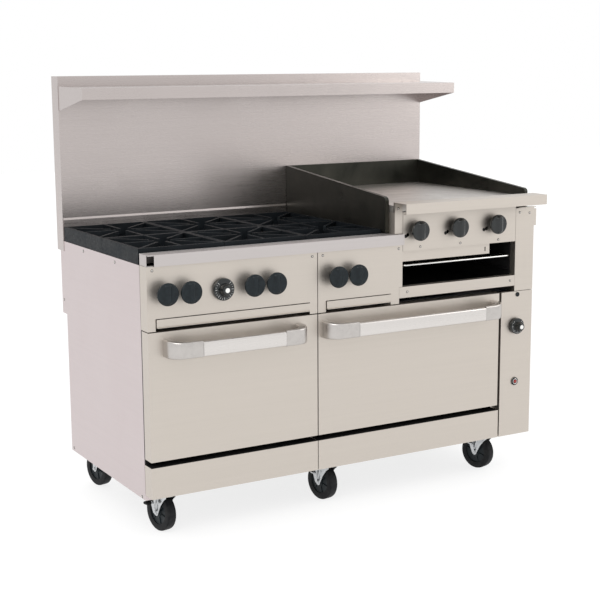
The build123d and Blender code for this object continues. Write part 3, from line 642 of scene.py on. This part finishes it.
def dial_pieces(side, kx, kz, r):
    body = f"dial_{side}"
    bm = bmesh.new()
    lathe(bm, (kx, 0.0, kz), (0, -1, 0), [(0.55, 0.15), (r - 0.06, 0.15), (r, 0.20), (r, 0.50), (r - 0.03, 0.56), (r - 0.09, 0.59), (r * 0.62, 0.60), (r * 0.60, 0.63), (r * 0.56, 0.78), (r * 0.46, 1.33), (r * 0.42, 1.43), (r * 0.34, 1.47), (0.0, 1.48)], 96)
    for k in range(22):
        a = 2 * math.pi * k / 22
        ca, sa = math.cos(a), math.sin(a)
        tube(bm, [(kx + ca * r * 0.570, -0.70, kz + sa * r * 0.570), (kx + ca * r * 0.465, -1.36, kz + sa * r * 0.465)], 0.028, 8)
    piece(f"thermostat_dial_{side}_moulding", bm, body, phenolic_gloss, [f"thermostat_dial_{side}"], angle=40)
    bm = bmesh.new()
    lathe(bm, (kx, 0.0, kz), (0, -1, 0), [(0.0, 1.38), (0.30, 1.38), (0.31, 1.47), (0.28, 1.505), (0.18, 1.515), (0.0, 1.52)], 48)
    piece(f"thermostat_cap_{side}", bm, body, white)
    bm = bmesh.new()
    n = 19
    for k in range(n):
        a = math.radians(-225 + 270 * k / (n - 1))
        long = k % 3 == 0
        r0, r1 = r * (0.70 if long else 0.78), r * 0.90
        hw = 0.020 if long else 0.013
        ca, sa = math.cos(a), math.sin(a)
        ring = [(r0, -hw), (r1, -hw), (r1, hw), (r0, hw)]
        solid(bm, [P(kx + ca * q - sa * w, -0.582, kz + sa * q + ca * w) for q, w in ring],
              [P(kx + ca * q - sa * w, -0.606, kz + sa * q + ca * w) for q, w in ring], 0.0)
    piece(f"thermostat_marks_{side}", bm, body, white)


dial_pieces("left", *THERMO_LEFT, 1.42)
dial_pieces("right", *THERMO_RIGHT, 1.16)

# Black discs on the griddle panel, low and left of each knob, in place of the sight holes: painted shade where the
# holes look dark.
bm = bmesh.new()
for kx, kz in GRIDDLE_KNOBS:
    lathe(bm, (kx - 1.75, 0.0, kz - 0.72), (0, -1, 0), [(0.0, 0.004), (0.24, 0.004), (0.24, 0.018), (0.20, 0.024), (0.0, 0.024)], 32, caps=False)
piece("griddle_sight_hole_shade_discs", bm, "chassis", black)

# Safety button with its bezel on the column.
bx, bz = BUTTON
bm = bmesh.new()
lathe(bm, (bx, 0.0, bz), (0, -1, 0), [(0.0, -0.45), (0.24, -0.45), (0.24, 0.22), (0.22, 0.27), (0.16, 0.29), (0.0, 0.30)], 48)
piece("safety_button_cap", bm, "button", red, ["safety_button"])
bm = bmesh.new()
lathe(bm, (bx, 0.0, bz), (0, -1, 0), [(0.42, 0.02), (0.42, 0.16), (0.45, 0.20), (0.50, 0.20), (0.56, 0.16), (0.60, 0.09), (0.61, 0.02), (0.42, 0.02)], 64, caps=False)
piece("button_bezel", bm, "chassis", phenolic)
bm = bmesh.new()
lathe(bm, (bx, 0.0, bz), (0, -1, 0), [(0.325, 0.01), (0.325, 0.21), (0.35, 0.23), (0.40, 0.21), (0.415, 0.15), (0.415, 0.01), (0.325, 0.01)], 64, caps=False)
piece("button_collar", bm, "chassis", chrome)
bm = bmesh.new()
lathe(bm, (57.31, 0.0, 26.58), (0, -1, 0), [(0.0, 0.01), (0.33, 0.01), (0.33, 0.06), (0.30, 0.10), (0.22, 0.11), (0.19, 0.07), (0.12, 0.05), (0.0, 0.05)], 40)
piece("hole_plug", bm, "chassis", phenolic)


# ---------------------------------------------------------------------------
# Screws: pan heads with a cross recess
# ---------------------------------------------------------------------------
SIDE_SCREWS = [(21.06, 34.66), (10.02, 34.57), (29.24, 26.82), (27.45, 5.67), (3.22, 5.45)]
FRONT_SCREWS = [(0.75, 34.72), (23.25, 34.72), (24.85, 34.72), (36.75, 34.72), (36.65, 40.15), (57.4, 38.35), (59.2, 38.2),
                (40.31, 34.75), (47.04, 34.75), (53.64, 34.75), (38.2, 28.7), (55.9, 28.7)]


def cross_head(bm, origin, direction, r, h, turn=0.4):
    """Pan head whose top carries a sunk cross."""
    o = P(*origin)
    d, u, v = frame_of(direction)
    segs = 32
    rows = [(1.0, 0.0), (1.0, 0.45), (0.95, 0.68), (0.84, 0.85), (0.70, 0.95), (0.56, 1.0)]
    rings = []
    for rr, hh in rows:
        rings.append([bm.verts.new(o + d * (hh * h * IN) + (u * math.cos(a) + v * math.sin(a)) * (rr * r * IN)) for a in [2 * math.pi * k / segs + turn for k in range(segs)]])
    for p, q in zip(rings, rings[1:]):
        for k in range(segs):
            j = (k + 1) % segs
            bm.faces.new((p[k], q[k], q[j], p[j]))
    # star-shaped ring: full reach along four arms, short between them
    star, floor = [], []
    for k in range(segs):
        a = 2 * math.pi * k / segs + turn
        arm = (k % 8) in (0, 1, 7)
        rr = 0.50 if arm else 0.16
        star.append(bm.verts.new(o + d * (h * 1.0 * IN) + (u * math.cos(a) + v * math.sin(a)) * (rr * r * IN)))
        floor.append(bm.verts.new(o + d * (h * 0.45 * IN) + (u * math.cos(a) + v * math.sin(a)) * (rr * 0.86 * r * IN)))
    last = rings[-1]
    for k in range(segs):
        j = (k + 1) % segs
        bm.faces.new((last[k], star[k], star[j], last[j]))
        bm.faces.new((star[k], floor[k], floor[j], star[j]))
    bm.faces.new(floor)
    bm.faces.new(rings[0][::-1])


bm = bmesh.new()
for k, (yy, zz) in enumerate(SIDE_SCREWS):
    cross_head(bm, (0.0, yy, zz), (-1, 0, 0), 0.15, 0.075, 0.3 * k)
    cross_head(bm, (60.0, yy, zz), (1, 0, 0), 0.15, 0.075, 0.5 * k)
for k, (xx, zz) in enumerate(FRONT_SCREWS):
    cross_head(bm, (xx, 0.0, zz), (0, -1, 0), 0.125, 0.065, 0.37 * k)
bmesh.ops.recalc_face_normals(bm, faces=bm.faces)
# Black rings a little wider than each screw head, set on the sheet behind it: painted shade around the screws.
painted_shade_rings = bmesh.new()
for yy, zz in SIDE_SCREWS:
    for x, s in ((0.0, -1), (60.0, 1)):
        lathe(painted_shade_rings, (x, yy, zz), (s, 0, 0), [(0.0, 0.002), (0.205, 0.002), (0.20, 0.022), (0.0, 0.022)], 32, caps=False)
for xx, zz in FRONT_SCREWS:
    lathe(painted_shade_rings, (xx, 0.0, zz), (0, -1, 0), [(0.0, 0.002), (0.175, 0.002), (0.17, 0.020), (0.0, 0.020)], 32, caps=False)
piece("screw_painted_shade_rings", painted_shade_rings, "chassis", black)
piece("screw_heads", bm, "chassis", screw_mat, ["screws"], angle=28)


# ---------------------------------------------------------------------------
# Racks: round chromed wire
# ---------------------------------------------------------------------------
def rack(name, body, node, x0, x1, y0, y1, z, wires, rod=0.12, wire=0.07):
    bm = bmesh.new()
    r = 0.5
    zc = z + rod
    loop = []
    for cx, cy, a0 in ((x1 - rod - r, y1 - rod - r, 0), (x0 + rod + r, y1 - rod - r, 90), (x0 + rod + r, y0 + rod + r, 180), (x1 - rod - r, y0 + rod + r, 270)):
        for i in range(7):
            a = math.radians(a0 + 15 * i)
            loop.append((cx + r * math.cos(a), cy + r * math.sin(a), zc))
    tube(bm, loop, rod, 14, closed=True)
    step = (x1 - x0) / (wires + 1)
    for i in range(1, wires + 1):
        x = x0 + i * step
        tube(bm, [(x, y0 + rod, zc + wire * 0.4), (x, (y0 + y1) / 2, zc + wire * 0.4), (x, y1 - rod, zc + wire * 0.4)], wire, 10)
    for f in (0.33, 0.67):
        yy = y0 + f * (y1 - y0)
        tube(bm, [(x0 + rod, yy, z + 0.06), (x1 - rod, yy, z + 0.06)], 0.085, 10)
    piece(name, bm, body, chrome, [node])


rack("oven_rack_left_wires", "rack_left", "oven_rack_left", 2.16, 21.84, 3.70, 26.90, 18.00, 12)
rack("oven_rack_right_wires", "rack_right", "oven_rack_right", 26.04, 52.10, 3.70, 26.90, 18.00, 17)
rack("broiler_rack_wires", "rack_broiler", "broiler_rack", 37.85, 56.20, 0.42, 25.00, 32.12, 13)


# ---------------------------------------------------------------------------
# Burners
# ---------------------------------------------------------------------------
GRATE_X = [(0.02, 11.80), (11.86, 23.64), (23.70, 35.44)]
GRATE_Y = [(2.42, 14.17), (14.23, 28.28)]
heads, tubes_bm, griddle_bm = bmesh.new(), bmesh.new(), bmesh.new()
for gx0, gx1 in GRATE_X:
    cx = (gx0 + gx1) / 2
    for row, (gy0, gy1) in enumerate(GRATE_Y):
        cy = (gy0 + gy1) / 2
        tx = cx - 1.1 + 2.2 * row
        # raised port ring, waisted bowl and open middle
        lathe(heads, (cx, cy, 0), (0, 0, 1), [(0.55, 33.4), (0.70, 33.5), (0.72, 34.6), (1.10, 35.05), (1.95, 35.22), (2.22, 35.30), (2.30, 35.42), (2.30, 35.70), (2.22, 35.82), (2.05, 35.90), (1.60, 35.94), (1.10, 35.95), (1.02, 35.90), (0.98, 35.70), (0.0, 35.60)], 64)
        for k in range(36):
            a = 2 * math.pi * k / 36
            ca, sa = math.cos(a), math.sin(a)
            tube(heads, [(cx + ca * 2.10, cy + sa * 2.10, 35.58), (cx + ca * 2.325, cy + sa * 2.325, 35.58)], 0.055, 8)
            if k % 2 == 0:
                tube(heads, [(cx + ca * 1.55, cy + sa * 1.55, 35.90), (cx + ca * 1.55, cy + sa * 1.55, 35.965)], 0.07, 8)
        tube(tubes_bm, rounded([(tx, 4.6, 33.55), (tx, cy - 0.9, 33.55), (cx, cy, 33.62)], 0.8), 0.34, 20)
        lathe(tubes_bm, (tx, 4.6, 33.55), (0, -1, 0), [(0.34, -0.6), (0.42, -0.3), (0.52, -0.1), (0.55, 0.05), (0.50, 0.10), (0.40, 0.02), (0.30, -0.2), (0.0, -0.25)], 24)
for cx in (40.9, 48.0, 54.6):
    path = rounded([(cx - 1.35, 4.0, 38.55), (cx - 1.35, 26.2, 38.55), (cx + 1.35, 26.2, 38.55), (cx + 1.35, 4.0, 38.55)], 1.2, 8)
    tube(griddle_bm, path, 0.40, 18)
    for k in range(40):
        y = 4.6 + k * 0.53
        for dx in (-1.35, 1.35):
            tube(griddle_bm, [(cx + dx, y, 38.90), (cx + dx, y, 38.965)], 0.05, 6)
for cx in (12.0, 39.0):
    tube(griddle_bm, [(cx, 4.0, 10.75), (cx, 14.0, 10.75), (cx, 25.0, 10.75)], 0.55, 24)
piece("burner_heads", heads, "chassis", iron_burner, ["gas_burners"])
piece("burner_mixing_tubes", tubes_bm, "chassis", iron_burner)
piece("griddle_and_oven_burners", griddle_bm, "chassis", black)


# ---------------------------------------------------------------------------
# Casters
# ---------------------------------------------------------------------------
CASTERS = {
    "front_left": (3.50, 3.45, 11.0),
    "front_middle": (27.75, 3.45, 10.0),
    "front_right": (55.00, 3.85, 15.0),
    "rear_left": (3.60, 25.20, 12.0),
    "rear_middle": (27.75, 25.20, -3.0),
    "rear_right": (55.00, 25.20, -6.0),
}
for name, (cx, cy, ang) in CASTERS.items():
    a = math.radians(ang)
    ex, ey = (math.cos(a), math.sin(a)), (-math.sin(a), math.cos(a))

    def L(u, v, z, cx=cx, cy=cy, ex=ex, ey=ey):
        """Fork frame (across, along the trail, height) to stations."""
        return (cx + ex[0] * u + ey[0] * v, cy + ex[1] * u + ey[1] * v, z)

    def plate(bm, pts, u0, u1, bevel):
        solid(bm, [P(*L(u0, v, z)) for v, z in pts], [P(*L(u1, v, z)) for v, z in pts], bevel, 2)

    fork = bmesh.new()
    # swivel race: two pressed cups over the top plate
    lathe(fork, (cx, cy, 0), (0, 0, 1), [(0.24, 5.02), (1.10, 5.02), (1.22, 5.06), (1.24, 5.14), (1.20, 5.22), (1.14, 5.27), (1.16, 5.33), (1.18, 5.42), (1.12, 5.50), (1.00, 5.53), (0.24, 5.53)], 56)
    b = bmesh.new()
    crown = [(-0.80, -0.72), (-0.55, -1.05), (0.55, -1.05), (0.80, -0.72), (0.86, 1.55), (0.60, 1.82), (-0.60, 1.82), (-0.86, 1.55)]
    solid(b, [P(*L(u, v, 5.02)) for u, v in crown], [P(*L(u, v, 5.14)) for u, v in crown], 0.05, 3)
    join(fork, b)
    leg = [(-0.82, 5.12), (1.80, 5.12), (1.86, 4.80), (1.80, 3.60), (1.74, 2.55), (1.66, 2.25), (1.48, 2.07), (1.30, 2.02), (1.12, 2.07), (0.95, 2.22), (0.86, 2.48), (0.30, 3.55), (-0.42, 4.45), (-0.86, 4.80)]
    for u0 in (-0.85, 0.73):
        plate(fork, leg, u0, u0 + 0.12, 0.035)
    # pressed rib down each leg and the axle bosses
    for s in (-1, 1):
        tube(fork, [L(s * 0.84, 0.70, 4.70), L(s * 0.85, 1.05, 3.70), L(s * 0.85, 1.26, 2.95)], 0.09, 12)
        lathe(fork, L(s * 0.80, 1.30, 2.50), (ex[0] * s, ex[1] * s, 0), [(0.40, 0.0), (0.40, 0.06), (0.36, 0.09), (0.0, 0.09)], 32)
        lathe(fork, L(s * 0.86, 1.30, 2.50), (ex[0] * s, ex[1] * s, 0), [(0.27, 0.0), (0.27, 0.14), (0.24, 0.17), (0.14, 0.17), (0.14, 0.20), (0.0, 0.21)], 6)
    tube(fork, [L(-0.80, 1.30, 2.50), L(0.80, 1.30, 2.50)], 0.19, 20)
    piece(f"caster_{name}_fork", fork, f"fork_{name}", zinc, [f"caster_fork_{name}"], angle=34)

    if name.startswith("front"):
        # wheel brake: a lever beside the wheel, from the axle up to a toe pedal
        bm = bmesh.new()
        plate(bm, [(1.12, 2.62), (1.48, 2.45), (1.95, 3.60), (1.90, 3.98), (1.45, 3.98), (1.30, 3.55)], -1.16, -1.06, 0.03)
        solid(bm, [P(*L(-1.12, v, z)) for v, z in ((1.32, 3.72), (1.98, 3.72), (2.00, 3.90), (1.34, 3.90))], [P(*L(-1.62, v, z)) for v, z in ((1.34, 3.82), (1.96, 3.82), (1.98, 4.00), (1.36, 4.00))], 0.03, 2)
        piece(f"caster_{name}_brake", bm, f"fork_{name}", zinc)
        if name == "front_left":
            pedal = bmesh.new()
            for pts, u0, u1 in (([(1.22, 3.78), (2.08, 3.78), (2.12, 4.02), (1.90, 4.16), (1.36, 4.14)], -1.50, -2.25), ([(1.50, 3.66), (1.82, 3.66), (1.80, 4.30), (1.54, 4.30)], -1.62, -2.05)):
                solid(pedal, [P(*L(u0, v, z)) for v, z in pts], [P(*L(u1, v, z)) for v, z in pts], 0.06, 3)
            piece("caster_front_left_pedal", pedal, "fork_front_left", black)

    wheel = bmesh.new()
    c = L(0, 1.30, 2.50)
    ax = (ex[0], ex[1], 0)
    W = 0.625
    tread = [(1.62, -W + 0.02), (1.78, -W + 0.005), (2.30, -W), (2.42, -W + 0.03), (2.48, -W + 0.09), (2.50, -W + 0.20), (2.50, 0.0), (2.50, W - 0.20), (2.48, W - 0.09), (2.42, W - 0.03), (2.30, W), (1.78, W - 0.005), (1.62, W - 0.02)]
    lathe(wheel, c, ax, tread + [(1.62, -W + 0.02)], 96, caps=False)
    piece(f"caster_{name}_tyre", wheel, f"wheel_{name}", rubber, [f"caster_wheel_{name}"], angle=40)
    hub = bmesh.new()
    lathe(hub, c, ax, [(1.66, -W + 0.10), (1.62, -W + 0.16), (1.50, -W + 0.20), (0.80, -W + 0.22), (0.66, -W + 0.16), (0.62, -W + 0.02), (0.55, -W), (0.22, -W), (0.22, W), (0.55, W), (0.62, W - 0.02), (0.66, W - 0.16), (0.80, W - 0.22), (1.50, W - 0.20), (1.62, W - 0.16), (1.66, W - 0.10), (1.66, -W + 0.10)], 72, caps=False)
    d, u, v = frame_of(ax)
    for k in range(6):
        t = math.radians(60 * k + 15)
        for s in (-1, 1):
            p0 = Vector(c) + d * (s * (W - 0.17)) + (u * math.cos(t) + v * math.sin(t)) * 0.68
            p1 = Vector(c) + d * (s * (W - 0.15)) + (u * math.cos(t) + v * math.sin(t)) * 1.56
            tube(hub, [p0, p1], 0.075, 10)
    piece(f"caster_{name}_hub", hub, f"wheel_{name}", phenolic, angle=34)


# ---------------------------------------------------------------------------
# Floor, light and camera
# ---------------------------------------------------------------------------
bm = bmesh.new()
fs = [bm.verts.new(Vector((x, y, 0.0))) for x, y in ((-14, -14), (14, -14), (14, 14), (-14, 14))]
bm.faces.new(fs)
me = bpy.data.meshes.new("studio_floor")
bm.to_mesh(me)
bm.free()
floor = bpy.data.objects.new("studio_floor", me)
bpy.context.scene.collection.objects.link(floor)
fm = Mat("studio_floor_white", (0.22, 0.22, 0.22), 0.85, Emission_Color=(1, 1, 1, 1), Emission_Strength=0.80)
n = fm.noise((1, 1, 1), 1.3, 3.0, 0.5)
fm.set_color(fm.mix(fm.ramp(n, 0.3, 0.7), (0.218, 0.218, 0.217), (0.222, 0.222, 0.221)))
me.materials.append(fm.m)

world = bpy.data.worlds.new("studio")
bpy.context.scene.world = world
world.use_nodes = True
wn = world.node_tree
wn.nodes.clear()
wo = wn.nodes.new("ShaderNodeOutputWorld")
bg = wn.nodes.new("ShaderNodeBackground")
bg.inputs["Color"].default_value = (1.0, 1.0, 1.0, 1)
bg.inputs["Strength"].default_value = 1.0
wn.links.new(bg.outputs[0], wo.inputs["Surface"])


def area(name, loc, target, size, power, color=(1, 1, 1)):
    ld = bpy.data.lights.new(name, "AREA")
    ld.shape = "RECTANGLE"
    ld.size, ld.size_y = size
    ld.energy = power
    ld.color = color
    ob = bpy.data.objects.new(name, ld)
    bpy.context.scene.collection.objects.link(ob)
    ob.location = loc
    ob.rotation_mode = "QUATERNION"
    ob.rotation_quaternion = (Vector(target) - Vector(loc)).to_track_quat("-Z", "Y")
    return ob


area("key_soft", (-2.6, -2.6, 3.4), (0, 0, 0.6), (2.6, 2.0), 60, (1.0, 0.985, 0.97))
area("fill_soft", (3.2, -2.2, 2.4), (0, 0, 0.6), (2.2, 2.0), 25, (1.0, 0.97, 0.93))

cam_pos = (-62.16184054438469, -144.7810051581012, 59.274151684892324)
yaw, pitch, roll = 0.523370776949526, 0.17812235444070462, 0.006172107025111454
fwd = Vector((math.sin(yaw) * math.cos(pitch), math.cos(yaw) * math.cos(pitch), -math.sin(pitch)))
right = Vector((math.cos(yaw), -math.sin(yaw), 0.0))
down = fwd.cross(right)
r2 = right * math.cos(roll) + down * math.sin(roll)
d2 = -right * math.sin(roll) + down * math.cos(roll)
cd = bpy.data.cameras.new("camera")
cd.sensor_width = 36.0
cd.lens = 78.8118
cd.clip_start, cd.clip_end = 0.05, 60.0
cam = bpy.data.objects.new("camera", cd)
bpy.context.scene.collection.objects.link(cam)
mw = Matrix((( r2.x, -d2.x, -fwd.x, 0), (r2.y, -d2.y, -fwd.y, 0), (r2.z, -d2.z, -fwd.z, 0), (0, 0, 0, 1)))
mw.translation = P(*cam_pos)
cam.matrix_world = mw
bpy.context.scene.camera = cam

bpy.context.view_layer.update()
